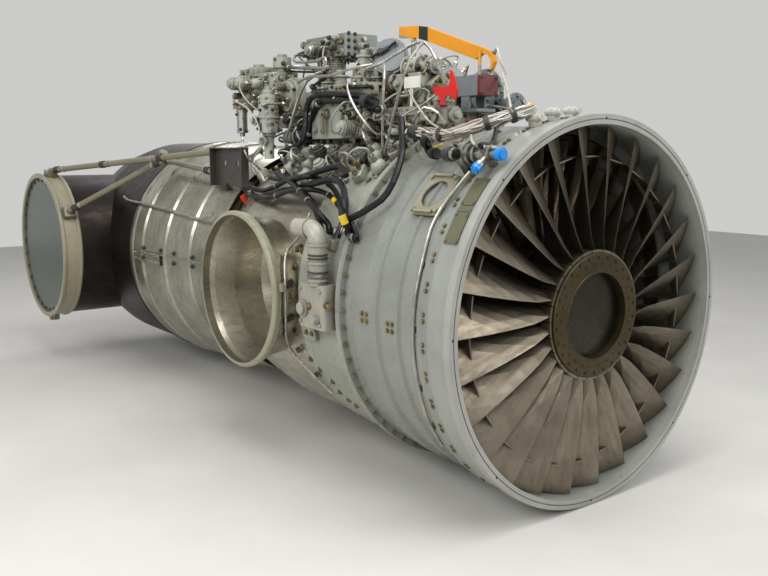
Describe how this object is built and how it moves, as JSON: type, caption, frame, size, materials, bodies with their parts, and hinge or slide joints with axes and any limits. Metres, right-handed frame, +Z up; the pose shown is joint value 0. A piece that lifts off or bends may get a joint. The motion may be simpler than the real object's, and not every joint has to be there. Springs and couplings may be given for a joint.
{
  "type": "vectored-thrust turbofan engine",
  "caption": "Turbofan jet engine with side outlets front and rear for swivelling nozzles, accessories on top and braced rear rings.",
  "frame": {"origin": "centre of the intake ring's front face, on the engine's axis", "axes": "+X forward along the engine's axis, out of the intake; +Z up, towards the accessories; -Y starboard"},
  "size_m": [3.4699, 1.568, 1.571],
  "materials": {
    "ring_paint": "grey paint, satin",
    "band_paint": "pale green-grey paint, satin",
    "case_paint": "light grey paint, satin",
    "casing_paint": "pale green paint, satin",
    "steel_fasteners": "plated steel",
    "hub_metal": "dark heat-tinted metal",
    "blade_metal": "brushed dark titanium",
    "cover_metal": "dark satin metal",
    "inner_metal": "machined metal",
    "bearing_steel": "ground steel",
    "duct_steel": "brushed sheet steel",
    "outlet_band": "pale olive, satin",
    "hot_metal": "heat-tinted steel",
    "shield_sheet": "bright ribbed sheet",
    "pipe_sheet": "blackened sheet with a bronze tint",
    "rear_band": "beige, satin",
    "blank_sheet": "grey-green sheet, glossy",
    "black_fasteners": "black",
    "strut_paint": "olive paint, satin",
    "plate_paint": "dark satin paint",
    "casting": "pale green-grey cast alloy, satin",
    "canister_metal": "satin metal",
    "lever_metal": "plated steel",
    "grey_paint": "mid grey paint, satin",
    "maroon_paint": "maroon paint, satin",
    "beam_paint": "orange-yellow paint, gloss",
    "marker_paint": "red and white paint, gloss",
    "valve_metal": "satin cast metal",
    "cap_plastic": "blue plastic",
    "elbow_paint": "beige, satin",
    "plate_olive": "dark olive, satin",
    "pipe_steel": "bright drawn steel",
    "bracket_metal": "pale primer, satin",
    "hose_rubber": "black rubber",
    "loom_sleeve": "braided sleeve"
  },
  "bodies": {
    "engine_frame": {"intake_ring": "ring_paint", "front_case": "band_paint", "fan_case": "case_paint", "case_screws": "steel_fasteners", "flange_bolts": "steel_fasteners", "lp_stators": "inner_metal", "intermediate_case": "casing_paint", "bearings": "bearing_steel", "core_case": "hot_metal", "core_stators": "inner_metal", "plenum": "duct_steel", "front_ring_starboard": "outlet_band", "front_ring_port": "outlet_band", "combustion_case": "hot_metal", "flame_tube": "hot_metal", "fuel_burners": "inner_metal", "turbine_case": "hot_metal", "turbine_vanes": "hot_metal", "exhaust_cone": "hot_metal", "heat_shield_upper": "shield_sheet", "heat_shield_lower": "shield_sheet", "jet_pipe": "pipe_sheet", "rear_ring_starboard": "rear_band", "rear_ring_port": "rear_band", "rear_blanks": "blank_sheet", "blank_bolts": "black_fasteners", "strut_frames": "strut_paint", "support_plates": "plate_paint", "gearbox": "casting", "fuel_pump": "casting", "rear_housings": "casting", "filter_canisters": "canister_metal", "fuel_control": "casting", "starter": "casting", "generator": "grey_paint", "junction_box": "grey_paint", "box_lid": "maroon_paint", "valve_blocks": "casting", "disc_control": "grey_paint", "cover_box": "casting", "oil_tank": "casting", "lifting_beam": "beam_paint", "marker_plates": "marker_paint", "air_valve": "valve_metal", "valve_caps": "cap_plastic", "bleed_elbow": "elbow_paint", "case_plates": "plate_olive", "steel_pipes": "pipe_steel", "oval_bracket": "bracket_metal", "hoses": "hose_rubber", "wiring_loom": "loom_sleeve"},
    "lp_spool": {"fan_hub": "hub_metal", "fan_blades": "blade_metal", "blade_lock_ring": "hub_metal", "hub_cover": "cover_metal", "lp_rotor": "inner_metal", "lp_shaft": "inner_metal", "lp_turbine": "hot_metal"},
    "core_spool": {"core_rotor": "inner_metal"},
    "throttle": {"throttle_lever": "lever_metal"}
  },
  "joints": [
    {"name": "lp_spool_spin", "type": "hinge", "parent": "engine_frame", "child": "lp_spool", "pos_m": [-0.6, 0, 0], "axis": [1, 0, 0], "continuous": true},
    {"name": "core_spool_spin", "type": "hinge", "parent": "engine_frame", "child": "core_spool", "pos_m": [-0.82, 0, 0], "axis": [1, 0, 0], "continuous": true},
    {"name": "throttle_turn", "type": "hinge", "parent": "engine_frame", "child": "throttle", "pos_m": [-1.057, -0.311, 0.637], "axis": [0, 1, 0], "range_deg": [-35, 35]}
  ]
}
